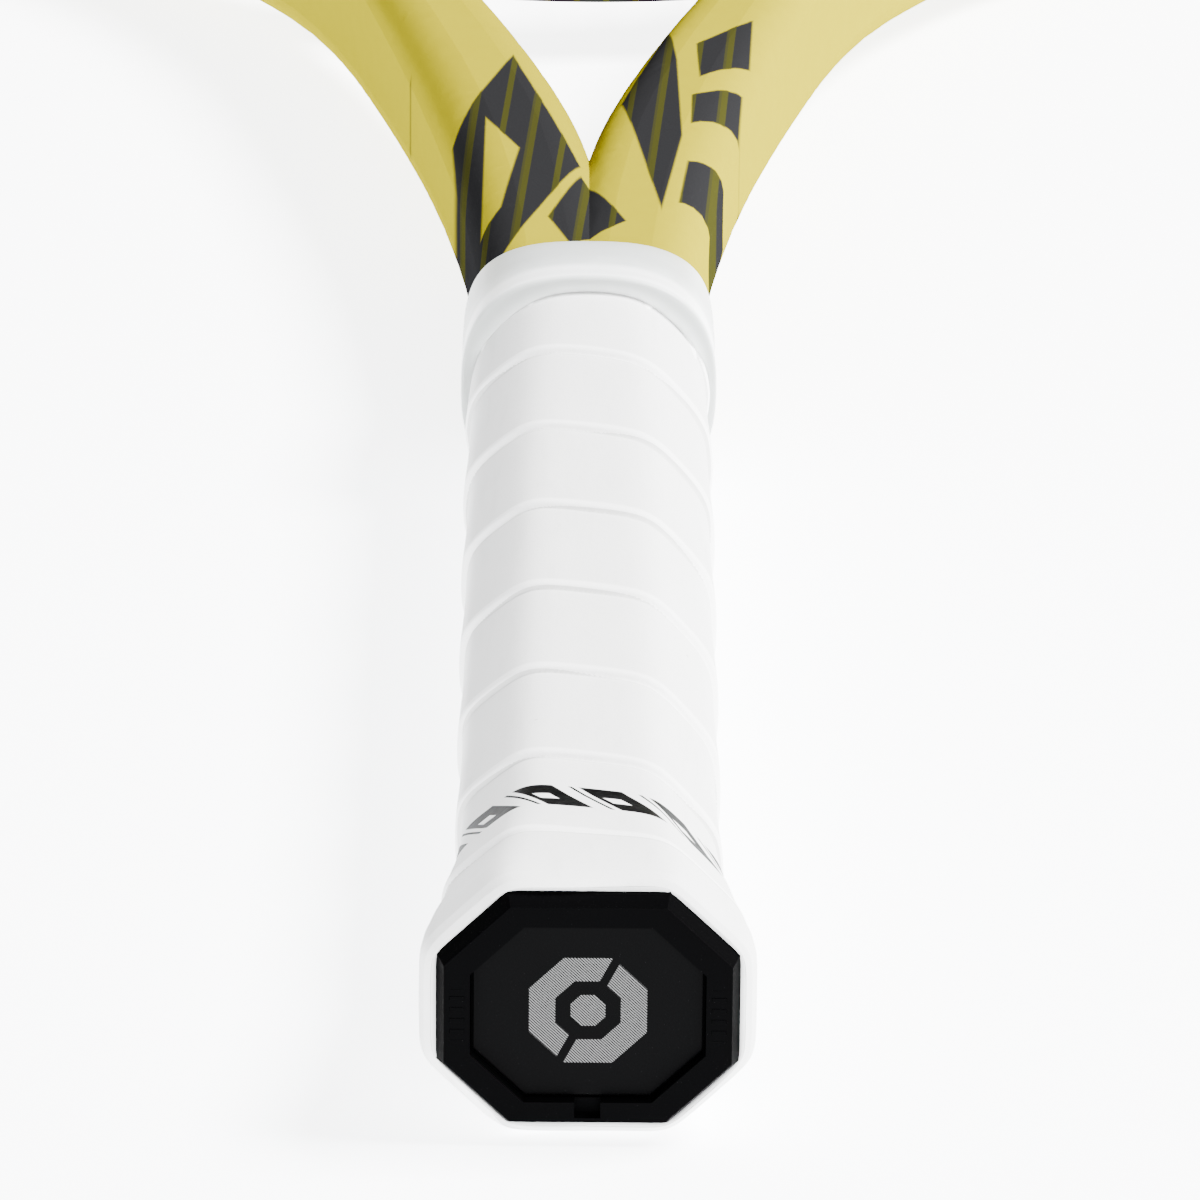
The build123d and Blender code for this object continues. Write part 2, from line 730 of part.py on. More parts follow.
# distance, width, height, corner
TAPE_INSIDE = [
    (193.0, 33.6, 30.2, 9.0),
    (196.2, 33.2, 29.8, 9.0),
    (203.0, 30.5, 23.6, 7.0),
]
COLLAR_OUTSIDE = [
    (191.6, 36.2, 34.8, 13.6),
    (192.6, 36.7, 35.4, 14.0),
    (194.0, 36.7, 35.0, 13.8),
    (196.0, 36.5, 34.0, 12.4),
    (204.0, 36.3, 32.2, 11.8),
    (209.0, 36.4, 30.4, 11.4),
    (212.5, 36.2, 28.4, 10.6),
    (214.8, 35.4, 26.6, 9.6),
]
COLLAR_INSIDE = [
    (191.6, 35.4, 34.0, 13.0),
    (196.4, 35.0, 32.0, 11.0),
    (203.4, 32.2, 24.6, 7.6),
    (214.8, 32.2, 24.2, 7.4),
]

with BuildPart() as finishing_tape:
    add(rounded_bar(TAPE_INSIDE, 0.3))
    add(rounded_bar(TAPE_INSIDE), mode=Mode.SUBTRACT)

with BuildPart() as rubber_collar:
    add(rounded_bar(COLLAR_OUTSIDE))
    add(rounded_bar(COLLAR_INSIDE), mode=Mode.SUBTRACT)

parts = {
    "hairpin_frame": hairpin_frame.part,
    "throat_bridge": bridge_solid,
    "shaft_foam_plugs": shaft_foam_plugs.part,
    "handle_pallet": handle_pallet.part,
    "butt_cap": butt_cap.part,
    "trap_door": trap_door.part,
    "butt_cap_staples": butt_cap_staples.part,
    "grip_staple": grip_staple.part,
    "grip_wrap": grip_wrap.part,
    "finishing_tape": finishing_tape.part,
    "rubber_collar": rubber_collar.part,
    "bumper_guard": bumper_guard,
    "side_strip_left": side_strip_left,
    "side_strip_right": side_strip_right,
    "bridge_strip": bridge_strip,
    "main_string": main_string,
    "cross_string": cross_string,
    "string_knots": string_knots.part,
}
for name, shape in parts.items():
    shape.label = name
    export_step(shape, f"parts/{name}.step")
    print(name, shape.is_valid, len(shape.solids()), round(shape.volume / 1000, 2), "cm3")
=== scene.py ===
"""Looks of a tennis racket: lacquered frame, wrapped grip, rubber collar, butt cap and strings."""

import math

import bmesh
import bpy
import numpy as np
from mathutils import Matrix, Vector


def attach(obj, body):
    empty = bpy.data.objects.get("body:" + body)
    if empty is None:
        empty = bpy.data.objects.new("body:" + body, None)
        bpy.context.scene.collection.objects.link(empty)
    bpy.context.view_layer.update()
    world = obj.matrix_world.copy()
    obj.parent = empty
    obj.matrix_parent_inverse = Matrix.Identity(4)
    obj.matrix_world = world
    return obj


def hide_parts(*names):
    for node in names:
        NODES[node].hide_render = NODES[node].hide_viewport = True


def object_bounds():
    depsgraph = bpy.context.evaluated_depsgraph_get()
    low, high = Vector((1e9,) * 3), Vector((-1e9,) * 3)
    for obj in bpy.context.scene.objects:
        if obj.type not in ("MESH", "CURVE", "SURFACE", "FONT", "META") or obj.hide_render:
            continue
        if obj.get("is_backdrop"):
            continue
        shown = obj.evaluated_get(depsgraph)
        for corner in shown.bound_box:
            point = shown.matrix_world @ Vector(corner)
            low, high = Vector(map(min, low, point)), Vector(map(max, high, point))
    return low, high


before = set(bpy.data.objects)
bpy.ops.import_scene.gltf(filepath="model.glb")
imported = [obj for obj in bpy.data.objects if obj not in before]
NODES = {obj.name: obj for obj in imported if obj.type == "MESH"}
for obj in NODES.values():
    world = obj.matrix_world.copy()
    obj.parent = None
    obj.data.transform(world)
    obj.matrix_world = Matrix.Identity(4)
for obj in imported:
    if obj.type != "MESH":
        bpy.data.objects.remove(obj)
CAD_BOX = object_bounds()
MM = 0.001


# ------------------------------------------------------------------ shader arithmetic
class Value:
    """A number or vector that varies over a surface, used with ordinary arithmetic."""

    def __init__(self, finish, socket):
        self.finish, self.socket = finish, socket

    def math(self, operation, *others, swap=False):
        terms = [self, *others]
        if swap:
            terms.reverse()
        return self.finish.node("ShaderNodeMath", {"operation": operation}, dict(enumerate(terms)))

    def __add__(self, other):
        return self.math("ADD", other)

    __radd__ = __add__

    def __sub__(self, other):
        return self.math("SUBTRACT", other)

    def __rsub__(self, other):
        return self.math("SUBTRACT", other, swap=True)

    def __mul__(self, other):
        return self.math("MULTIPLY", other)

    __rmul__ = __mul__

    def __truediv__(self, other):
        return self.math("DIVIDE", other)

    def low(self, other):
        return self.math("MINIMUM", other)

    def high(self, other):
        return self.math("MAXIMUM", other)

    def size(self):
        return self.math("ABSOLUTE")

    def part(self):
        """What is left over one, as in a repeating stripe."""
        return self.math("FRACT")

    def ramp(self, start, end):
        """From 0 at start to 1 at end, eased."""
        reach = {"Value": self, "From Min": start, "From Max": end}
        return self.finish.node("ShaderNodeMapRange", {"interpolation_type": "SMOOTHSTEP"}, reach)


class Finish:
    """One material, built a node at a time."""

    def __init__(self, name, color=(0.8, 0.8, 0.8), rough=0.5, **fixed):
        self.material = bpy.data.materials.new(name)
        self.material.use_nodes = True
        self.tree = self.material.node_tree
        self.shader = self.tree.nodes["Principled BSDF"]
        self.put("Base Color", (*color, 1.0))
        self.put("Roughness", rough)
        for key, value in fixed.items():
            self.put(key.replace("_", " ").title().replace("Ior", "IOR"), value)
        self.seen = None

    def put(self, name, value):
        """Set or link one socket of the surface shader."""
        self._give(self.shader.inputs[name], value)

    def _give(self, socket, value):
        if isinstance(value, Value):
            self.tree.links.new(value.socket, socket)
        else:
            socket.default_value = value

    def node(self, kind, settings=None, inputs=None, output=0):
        """Add a node: its settings first, then its values and links."""
        made = self.tree.nodes.new(kind)
        for key, value in (settings or {}).items():
            setattr(made, key, value)
        for key, value in (inputs or {}).items():
            self._give(made.inputs[key], value)
        return Value(self, made.outputs[output])

    def place(self):
        """Object coordinates in millimetres, as x, y and z."""
        if self.seen is None:
            spot = self.node("ShaderNodeTexCoord", output="Object")
            self.seen = [
                self.node("ShaderNodeSeparateXYZ", None, {0: spot}, axis) * 1000.0 for axis in ("X", "Y", "Z")
            ]
        return self.seen

    def spot(self, sx=1.0, sy=1.0, sz=1.0):
        """Object coordinates in millimetres, stretched per axis, as a vector."""
        x, y, z = self.place()
        return self.node("ShaderNodeCombineXYZ", None, {"X": x * sx, "Y": y * sy, "Z": z * sz})

    def noise(self, scale, detail=3.0, rough=0.5, vector=None):
        """Soft random patches; scale counts patches per millimetre."""
        inputs = {"Vector": vector or self.spot(), "Scale": scale, "Detail": detail, "Roughness": rough}
        return self.node("ShaderNodeTexNoise", None, inputs, "Fac")

    def cells(self, scale, vector=None, feature="F1"):
        """Distance to scattered points."""
        inputs = {"Vector": vector or self.spot(), "Scale": scale}
        return self.node("ShaderNodeTexVoronoi", {"feature": feature}, inputs, "Distance")

    def mix(self, first, second, share):
        """Blend two colours."""
        ends = [c if isinstance(c, Value) else (*c, 1.0) for c in (first, second)]
        made = self.tree.nodes.new("ShaderNodeMix")
        made.data_type = "RGBA"
        self._give(made.inputs["Factor"], share)
        colours = [s for s in made.inputs if s.type == "RGBA"]
        self._give(colours[0], ends[0])
        self._give(colours[1], ends[1])
        return Value(self, [s for s in made.outputs if s.type == "RGBA"][0])

    def bump(self, height, distance, strength=1.0):
        """Raise the surface by a height given in millimetres times the distance."""
        inputs = {"Height": height, "Distance": distance * MM, "Strength": strength}
        self.put("Normal", self.node("ShaderNodeBump", None, inputs, "Normal"))

    def wear(self, *nodes):
        """Give this finish to CAD nodes."""
        for name in nodes:
            mesh = NODES[name].data
            if not mesh.materials:
                mesh.materials.append(self.material)
            for index in range(len(mesh.materials)):
                mesh.materials[index] = self.material


def inside(x, y, corners, soft=0.25):
    """One inside a convex outline given anticlockwise in millimetres, zero outside."""
    mask = None
    for (ax, ay), (bx, by) in zip(corners, corners[1:] + corners[:1]):
        length = math.hypot(bx - ax, by - ay)
        nx, ny = -(by - ay) / length, (bx - ax) / length
        gap = x * nx + y * ny - (ax * nx + ay * ny)
        mask = gap if mask is None else mask.low(gap)
    return mask.ramp(-soft, soft)


# ------------------------------------------------------------------ meshes
def grid_mesh(name, rows, closed_rows=True, round_to=None, along=None):
    """A mesh over a grid of points, rows by columns by 3; each row may close on itself.

    With round_to, a map is stored: distance round the row and distance along the handle, in millimetres.
    """
    count, around = rows.shape[:2]
    columns = around if closed_rows else around - 1
    i, j = np.meshgrid(np.arange(count - 1), np.arange(columns), indexing="ij")
    k = (j + 1) % around
    quads = np.stack([i * around + j, i * around + k, (i + 1) * around + k, (i + 1) * around + j], -1)
    mesh = bpy.data.meshes.new(name)
    mesh.from_pydata((rows.reshape(-1, 3) * MM).tolist(), [], quads.reshape(-1, 4).tolist())
    mesh.update()
    mesh.polygons.foreach_set("use_smooth", [True] * len(mesh.polygons))
    if round_to is not None:
        u = np.stack([round_to[j], round_to[j + 1], round_to[j + 1], round_to[j]], -1)
        v = np.stack([along[i, j], along[i, j + 1], along[i + 1, j + 1], along[i + 1, j]], -1)
        corners = np.stack([u, v], -1).reshape(-1)
        mesh.uv_layers.new(name="wrap_map").data.foreach_set("uv", corners.astype(np.float32))
    made = bpy.data.objects.new(name, mesh)
    bpy.context.scene.collection.objects.link(made)
    return made


def face_out(made):
    """Turn every face of a closed shell outwards."""
    shape = bmesh.new()
    shape.from_mesh(made.data)
    bmesh.ops.recalc_face_normals(shape, faces=shape.faces)
    shape.to_mesh(made.data)
    shape.free()


def octagon_radius(angle, width, height, cut, soften):
    """Distance from the middle to a softened octagon in a direction: a smooth least of its sides."""
    c, s = np.abs(np.cos(angle)), np.abs(np.sin(angle))
    w, h = width / 2, height / 2
    slope = (w + h - cut) / (c + s)
    sides = np.stack([w / np.maximum(c, 1e-6), h / np.maximum(s, 1e-6), slope], 0)
    return np.sum(sides ** -soften, 0) ** (-1 / soften)


PITCH = 25.6  # how far the wrap moves up the handle in one turn
SEAM_AT = 171.4  # a seam's place on the middle of the upper face
WRAP_START, WRAP_TOP = 2.4, 195.9
PLAIN = (34.4, 30.4, 8.8, 15.0)  # width, height, corner cut and softening of the handle's straight run
# distance, width, height of the wrapped handle between lips
HANDLE = np.array(
    [(2.4, 41.2, 35.4), (2.9, 42.6, 36.9), (4.2, 43.8, 38.1), (6.0, 43.9, 38.3), (9.0, 43.4, 37.9)]
    + [(14.0, 41.6, 36.4), (20.0, 38.8, 34.0), (26.0, 36.6, 32.2), (32.0, 35.1, 31.0), (38.0, 34.3, 30.3)]
    + [(46.0, 34.0, 30.1), (184.0, 33.9, 30.0), (190.0, 33.9, 30.0), (195.9, 33.6, 29.8)]
)
# distance, width, height of the hollow inside the wrap
HOLLOW = np.array(
    [(2.4, 39.5, 33.9), (3.4, 40.1, 34.5), (9.0, 39.5, 34.0), (20.0, 34.7, 30.1), (30.0, 31.1, 27.1)]
    + [(36.0, 30.1, 26.1), (183.0, 30.1, 26.1), (188.0, 31.1, 27.1), (196.0, 31.1, 27.1)]
)


def perimeter(width, height, cut, soften):
    """Distance round a softened octagon, from the lowest point, against the angle."""
    fine = np.linspace(0, 2 * np.pi, 1441) - np.pi / 2
    r = octagon_radius(fine, width, height, cut, soften)
    steps = np.hypot(np.diff(r * np.cos(fine)), np.diff(r * np.sin(fine)))
    return fine, np.concatenate([[0], np.cumsum(steps)])


def wrap_surface():
    """The grip wrap: a softened octagon along the handle plus one helical step a turn.

    The phase of the step is the distance from the butt less the helix's advance round the handle.
    A turn is widest at its edge nearest the butt, where it lies on the turn before, and thins from there.
    """
    around, count = 384, 1200
    turn = np.linspace(0, 2 * np.pi, around, endpoint=False) - np.pi / 2
    start = WRAP_START + (6 - WRAP_START) * np.linspace(0, 1, 40, endpoint=False) ** 1.5
    reach = np.concatenate([start, np.linspace(6, WRAP_TOP, count)])
    y, a = np.meshgrid(reach, turn, indexing="ij")
    width, height = (np.interp(y, HANDLE[:, 0], HANDLE[:, k]) for k in (1, 2))
    ends = np.interp(y, [0, 8, 40, 150, 196], [0.265, 0.265, 0.27, 0.275, 0.30])
    soften = np.interp(y, [0, 10, 40, 150, 196], [30.0, 20.0, 16.0, 13.0, 9.0])
    radius = octagon_radius(a, width, height, ends * (width + height) / 2, soften)
    fine, length = perimeter(*PLAIN)
    round_to = np.interp(np.append(turn, 1.5 * np.pi), fine, length)
    advance = PITCH * (round_to / length[-1] - 0.5)
    behind = reach[:, None] - SEAM_AT - advance
    wander = 0.2 * np.sin(2 * a + 0.045 * y)
    mm = np.mod(behind[:, :-1] + wander, PITCH)
    lip = 0.78 * np.exp(-((mm / 13.0) ** 1.5)) * np.clip(mm / 0.5, 0, 1) ** 0.45
    groove = -0.16 * np.exp(-(((PITCH - mm) / 0.7) ** 2))
    calm = np.clip((y - 15.5) / 10.0, 0, 1)
    calm = calm * calm * (3 - 2 * calm)
    top = np.clip((198.0 - y) / 8.0, 0.35, 1)
    radius = radius + (lip + groove) * (0.10 + 0.90 * calm) * top
    rim = 0.35 * np.sin(2 * a + 0.6) + 0.25 * np.sin(5 * a + 2.0)
    place = y + rim * np.clip((4.4 - y) / 2.0, 0, 1)
    outer = np.stack([radius * np.cos(a), place, radius * np.sin(a)], -1)
    back = slice(None, None, 24)
    inner_w, inner_h = (np.interp(reach[back], HOLLOW[:, 0], HOLLOW[:, k])[:, None] for k in (1, 2))
    inner_r = octagon_radius(turn[None, :], inner_w, inner_h, 0.25 * (inner_w + inner_h) / 2, 60.0)
    inner = np.stack(
        [inner_r * np.cos(turn), np.broadcast_to(reach[back, None], inner_r.shape), inner_r * np.sin(turn)], -1
    )
    rows = np.concatenate([inner[::-1], outer, inner[-1:]], 0)
    far = np.full((len(inner), around + 1), -50.0)
    along = np.concatenate([far, behind, far[:1]], 0)
    made = grid_mesh("grip_wrap_leather", rows, round_to=round_to, along=along)
    face_out(made)
    return made


def collar_surface():
    """The rubber collar: a superellipse swept through a lipped, domed profile and back up the inside.

    Each row of the profile is distance, width, height, the superellipse's power and how far the
    row leaves the superellipse for the wrap's own octagon, so that the lip hugs the wrap.
    """
    around = 256
    turn = np.linspace(0, 2 * np.pi, around, endpoint=False)
    outside = [
        (195.4, 32.8, 29.0, 2.6, 1.0), (194.4, 33.0, 29.2, 2.6, 1.0), (193.4, 33.3, 29.6, 2.6, 1.0),
        (192.6, 33.9, 30.5, 2.6, 0.95), (192.2, 34.6, 32.0, 2.55, 0.75), (191.9, 35.3, 33.5, 2.5, 0.4),
        (191.8, 36.0, 34.7, 2.5, 0.15), (191.9, 36.6, 35.3, 2.5, 0.0), (192.4, 36.9, 35.6, 2.55, 0.0),
        (193.3, 36.9, 35.5, 2.6, 0.0), (194.2, 36.7, 35.2, 2.62, 0.0), (195.4, 36.5, 34.7, 2.62, 0.0),
        (197.0, 36.4, 34.3, 2.6, 0.0), (199.5, 36.5, 33.8, 2.55, 0.0), (202.5, 36.6, 33.2, 2.52, 0.0),
        (205.5, 36.6, 32.4, 2.5, 0.0), (208.0, 36.5, 31.4, 2.55, 0.0), (210.4, 36.4, 30.0, 2.6, 0.0),
        (212.2, 36.1, 28.6, 2.7, 0.0), (213.6, 35.7, 27.3, 2.8, 0.0), (214.4, 35.2, 26.4, 2.85, 0.0),
        (214.8, 34.6, 25.6, 2.9, 0.0), (214.7, 33.9, 25.0, 2.95, 0.0), (214.2, 33.3, 24.5, 3.0, 0.0),
    ]
    inside = [
        (211.0, 32.6, 24.2, 3.2, 0.0), (204.4, 31.8, 24.0, 3.4, 0.0), (201.0, 32.4, 26.0, 3.2, 0.3),
        (197.6, 32.6, 28.4, 3.0, 0.8),
    ]
    profile = np.array(outside + inside)
    ring = np.concatenate([profile, profile[:1]], 0)
    index = np.arange(len(ring))
    steps = np.linspace(0, len(profile), len(profile) * 6, endpoint=False)
    y, w, h, power, hug = (np.interp(steps, index, ring[:, k])[:, None] for k in range(5))
    c, s = np.abs(np.cos(turn)), np.abs(np.sin(turn))
    radius = ((c / (w / 2)) ** power + (s / (h / 2)) ** power) ** (-1 / power)
    radius = radius + hug * (octagon_radius(turn[None, :], w, h, 0.3 * (w + h) / 2, 9.0) - radius)
    rows = np.stack([radius * np.cos(turn), np.broadcast_to(y, radius.shape), radius * np.sin(turn)], -1)
    for _ in range(3):
        rows = (np.roll(rows, 1, 0) + 2 * rows + np.roll(rows, -1, 0)) / 4
    made = grid_mesh("collar_rubber", np.concatenate([rows, rows[:1]], 0))
    face_out(made)
    return made


# ------------------------------------------------------------------ finishes
LEATHER = (0.80, 0.80, 0.793)
PRINT_ROW = -PITCH * 6 + 13.0
YELLOW = (0.250, 0.211, 0.0005)
CHARCOAL = (0.0090, 0.0090, 0.0096)
OLIVE = (0.026, 0.026, 0.006)
HEAD_AT = 402.0  # where the charcoal of the head starts in the middle
HEAD_SLANT = 0.35  # and how much later it starts for each millimetre off the middle
HAIR_STEP, HAIR_LEAN = 4.6, 0.066  # spacing of the hairlines and their lean


def hair_count(x, y):
    """Counts the leaning hairlines across the racket."""
    return (x - y * HAIR_LEAN) / HAIR_STEP


def hairline(count, start, end):
    """One along the middle of every count, fading out between the two half widths."""
    return 1 - (count.part() - 0.5).size().ramp(start, end)


def frame_lacquer():
    """Yellow lacquer with charcoal blades, olive hairlines and a charcoal head."""
    f = Finish("frame_lacquer", YELLOW, 0.35, specular_ior_level=0.0)
    x, y, _ = f.place()
    left = [
        inside(x, y, [(-11.5, 285.5), (-20.4, 259.0), (-16.6, 203.0), (-7.4, 229.6), (-1.2, 246.8)]),
        inside(x, y, [(-6.0, 226.6), (-2.8, 217.2), (5.4, 225.2), (-1.2, 243.4)]),
    ]
    slit = inside(x, y, [(-15.4, 262.0), (-15.8, 226.0), (-13.0, 231.0), (-10.4, 251.0)])
    notch = inside(x, y, [(-30.6, 286.0), (-29.4, 262.0), (-26.6, 262.0), (-27.0, 288.5)])
    notch = notch.high(inside(x, y, [(-26.2, 258.0), (-24.6, 236.0), (-22.6, 236.0), (-23.4, 258.0)]))
    right = [
        inside(x, y, [(4.8, 270.5), (10.6, 229.8), (13.8, 256.0), (13.2, 284.0), (12.0, 298.5)]),
        inside(x, y, [(16.2, 289.8), (16.6, 277.6), (24.2, 284.4), (24.8, 299.0)]),
        inside(x, y, [(15.4, 270.8), (15.2, 260.8), (22.4, 266.0), (23.0, 276.4)]),
        inside(x, y, [(14.6, 247.8), (13.2, 233.2), (21.0, 236.4), (24.4, 254.6)]),
    ]
    edge = inside(x, y, [(30.0, 270.0), (60.0, 300.0), (80.0, 345.0), (52.0, 345.0), (33.6, 309.0)])
    blades = notch
    for shape in [*left, *right, edge]:
        blades = blades.high(shape)
    blades = blades.low(1 - slit)
    climb = y - x.size() * HEAD_SLANT
    head = (climb - HEAD_AT).ramp(-0.4, 0.4)
    fade = inside(x, y, [(-140.0, 398.0), (140.0, 398.0), (140.0, 460.0), (-140.0, 460.0)])
    dash = (climb / 9.0).part().ramp(0.46, 0.5) * fade * (1 - head)
    dark = blades.high(head).high(dash * climb.ramp(370.0, 370.4))
    count = hair_count(x, y)
    lines = hairline(count, 0.085, 0.115).high(hairline(count * 0.5 + 0.31, 0.02, 0.035) * 0.7) * dark
    grain = f.noise(0.35, 4.0)
    fine = f.noise(9.0, 2.0)
    yellow = f.mix(YELLOW, (0.234, 0.194, 0.0005), (grain - 0.35) * 1.2)
    charcoal = f.mix(CHARCOAL, (0.013, 0.013, 0.0136), fine)
    color = f.mix(yellow, charcoal, dark)
    color = f.mix(color, OLIVE, lines)
    flake = f.cells(7.0).ramp(0.05, 0.0)
    color = f.mix(color, (0.6, 0.54, 0.1), flake * (1 - dark) * 0.2)
    f.put("Base Color", color)
    f.put("Roughness", dark * 0.1 + 0.32 + (grain - 0.5) * 0.08)
    f.bump(f.noise(1.4, 3.0) * 0.02 + fine * 0.006 + dark * 0.03, 1.0)
    return f


def bridge_lacquer():
    """Charcoal lacquer with olive hairlines across the throat bridge."""
    f = Finish("bridge_lacquer", CHARCOAL, 0.35, specular_ior_level=0.0)
    x, y, _ = f.place()
    lines = hairline(hair_count(x, y), 0.085, 0.115)
    color = f.mix(CHARCOAL, (0.013, 0.013, 0.0136), f.noise(9.0, 2.0))
    f.put("Base Color", f.mix(color, OLIVE, lines))
    f.put("Roughness", f.noise(0.4) * 0.14 + 0.24)
    f.bump(f.noise(1.4, 3.0) * 0.02, 1.0)
    return f


def wrap_leather():
    """White synthetic leather: faint pores and nap, a painted highlight along each lip and painted shade in the
    groove at each seam, and a printed row of black slanted bars.
    """
    f = Finish("wrap_leather", (0.80, 0.80, 0.79), 0.55, specular_ior_level=0.02)
    mapped = f.node("ShaderNodeUVMap", {"uv_map": "wrap_map"})
    round_to = f.node("ShaderNodeSeparateXYZ", None, {0: mapped}, "X")
    behind = f.node("ShaderNodeSeparateXYZ", None, {0: mapped}, "Y")
    pores = f.cells(2.6)
    nap = f.noise(1.1, 5.0, 0.6)
    streak = f.noise(0.5, 4.0, 0.6, f.spot(1.0, 0.12, 1.0))
    turns = behind / PITCH
    # painted highlight: the band along each turn's raised lip is lightened, as if lit from the front
    edge = (turns.part() * PITCH).ramp(1.9, 1.1)
    color = f.mix(LEATHER, (0.75, 0.75, 0.743), f.noise(0.07, 3.0))
    color = f.mix(color, (0.64, 0.64, 0.632), pores.ramp(0.12, 0.0) * 0.35)
    color = f.mix(color, (0.62, 0.62, 0.61), streak.ramp(0.5, 0.8) * 0.3)
    color = f.mix(color, (0.96, 0.96, 0.955), edge)
    # painted shade: the groove just ahead of each seam is darkened
    groove_shade = (turns.part() * PITCH).ramp(PITCH - 0.9, PITCH - 0.1)
    color = f.mix(color, (0.46, 0.46, 0.455), groove_shade * 0.35)
    speck = f.cells(0.11).ramp(0.045, 0.02)
    color = f.mix(color, (0.35, 0.34, 0.33), speck * 0.5)
    # the printed band runs along the turn: distance behind the turn's edge gives its rows
    row = behind - PRINT_ROW
    step = ((round_to - row * 0.75) / 9.0 + 0.1).part()
    tall = 1 - row.size().ramp(3.5, 3.7)
    bar = (1 - (step - 0.5).size().ramp(0.30, 0.315)) * tall
    slot = (1 - (step - 0.58).size().ramp(0.12, 0.13)) * (1 - (row + 0.2).size().ramp(0.8, 0.95))
    thin = (1 - (step - 0.93).size().ramp(0.025, 0.035)) * tall
    ink = (bar * (1 - slot)).high(thin)
    color = f.mix(color, (0.002, 0.002, 0.002), ink)
    f.put("Base Color", color)
    f.put("Roughness", 0.5 + nap * 0.12 - ink * 0.1)
    f.bump(nap * 0.04 + pores * 0.02 + f.noise(0.16, 2.0) * 0.2, 0.7)
    return f


def collar_rubber():
    """Milky rubber with a satin skin and faint moulding haze, painted shade on the far dome and on the lip's
    inner face, and a painted highlight on the lip's roll.
    """
    f = Finish("collar_rubber", (0.62, 0.645, 0.635), 0.36, specular_ior_level=0.35)
    y = f.place()[1]
    haze = f.noise(0.2, 4.0)
    color = f.mix((0.64, 0.665, 0.655), (0.56, 0.585, 0.575), haze.ramp(0.35, 0.75))
    # painted shade: the far part of the dome, where it curves away, is darkened
    color = f.mix(color, (0.47, 0.49, 0.48), y.ramp(198.5, 204.0) * 0.8)
    # painted highlight: the rolled top of the lip is lightened
    color = f.mix(color, (0.93, 0.945, 0.94), y.ramp(192.1, 192.9) * (1 - y.ramp(196.4, 199.4)))
    # painted shade: the lip's inner face, below its roll, is darkened
    color = f.mix(color, (0.40, 0.42, 0.41), 1 - y.ramp(191.7, 192.3))
    f.put("Base Color", color)
    f.put("Roughness", 0.3 + f.noise(0.8, 3.0) * 0.16)
    f.bump(f.noise(2.0, 3.0) * 0.03 + haze * 0.1, 1.0)
    return f


def cap_plastic():
    """Satin black plastic with a fine spark texture and small moulded ticks on the rim."""
    f = Finish("cap_plastic", (0.0015, 0.0015, 0.0016), 0.42, specular_ior_level=0.003)
    x, y, z = f.place()
    spark = f.noise(7.0, 3.0, 0.7)
    f.put("Base Color", f.mix((0.0006, 0.0006, 0.0007), (0.0012, 0.0012, 0.0013), spark))
    f.put("Roughness", 0.36 + spark * 0.2)
    front = (0.3 - y).ramp(-0.1, 0.1)
    ticks = (1 - ((z / 1.6).part() - 0.5).size().ramp(0.16, 0.22)) * (1 - z.size().ramp(3.6, 3.8))
    ticks = ticks * (x.size() - 17.0).size().ramp(1.0, 0.9)
    f.bump(spark * 0.02 + ticks * front * 0.22, 1.0)
    return f


def door_plastic():
    """Smooth black plastic with a silver hatched eight-sided ring printed in the middle."""
    f = Finish("door_plastic", (0.001, 0.001, 0.001), 0.30, specular_ior_level=0.008)
    x, y, z = f.place()
    spark = f.noise(6.0, 3.0, 0.7)
    reach = x.size().high(z.size()).high((x.size() + z.size()) * 0.7071)
    ring = reach.ramp(4.2, 4.3) * (1 - reach.ramp(7.6, 7.7))
    core = 1 - reach.ramp(2.2, 2.3)
    hatch = (((x + z) / 0.42).part() - 0.5).size().ramp(0.17, 0.25)
    split = ((x - z * 0.5).size()).ramp(0.6, 0.7)
    front = (1.75 - y).ramp(-0.05, 0.05)
    ink = (ring * split).high(core) * hatch * front
    plain = f.mix((0.0009, 0.0009, 0.001), (0.0016, 0.0016, 0.0017), spark)
    f.put("Base Color", f.mix(plain, (0.10, 0.10, 0.10), ink))
    f.put("Roughness", 0.3 + spark * 0.12 - ink * 0.06)
    f.put("Metallic", ink * 0.2)
    f.bump(spark * 0.01 + ink * 0.015, 1.0)
    return f


def strip_nylon():
    """Black nylon with a faint flow grain and scuffed outer edges."""
    f = Finish("strip_nylon", (0.004, 0.004, 0.0042), 0.45, specular_ior_level=0.06)
    grain = f.noise(2.4, 5.0, 0.65)
    scuff = f.noise(0.5, 6.0, 0.7).ramp(0.58, 0.72)
    f.put("Base Color", f.mix((0.003, 0.003, 0.0032), (0.012, 0.012, 0.012), scuff * 0.5))
    f.put("Roughness", 0.38 + grain * 0.22 + scuff * 0.1)
    f.bump(grain * 0.03 + scuff * 0.02, 1.0)
    return f


def string_nylon():
    """Pale nylon string with fine spiral outer filaments."""
    f = Finish("string_nylon", (0.45, 0.42, 0.30), 0.3, specular_ior_level=0.3)
    x, y, z = f.place()
    twist = ((x + y + z * 2.2) / 1.1).part()
    f.put("Base Color", f.mix((0.46, 0.43, 0.31), (0.36, 0.33, 0.22), twist.ramp(0.3, 0.7)))
    f.put("Roughness", 0.26 + f.noise(1.2) * 0.14)
    f.bump((twist - 0.5).size() * 0.05, 1.0)
    return f


def pallet_foam():
    """Tan polyurethane foam with a closed skin and fine bubbles."""
    f = Finish("pallet_foam", (0.52, 0.42, 0.24), 0.8)
    cells = f.cells(1.6)
    f.put("Base Color", f.mix((0.56, 0.46, 0.27), (0.40, 0.31, 0.16), cells.ramp(0.25, 0.0)))
    f.put("Roughness", 0.7 + f.noise(0.8) * 0.2)
    f.bump(cells * 0.2 + f.noise(0.4) * 0.3, 1.0)
    return f


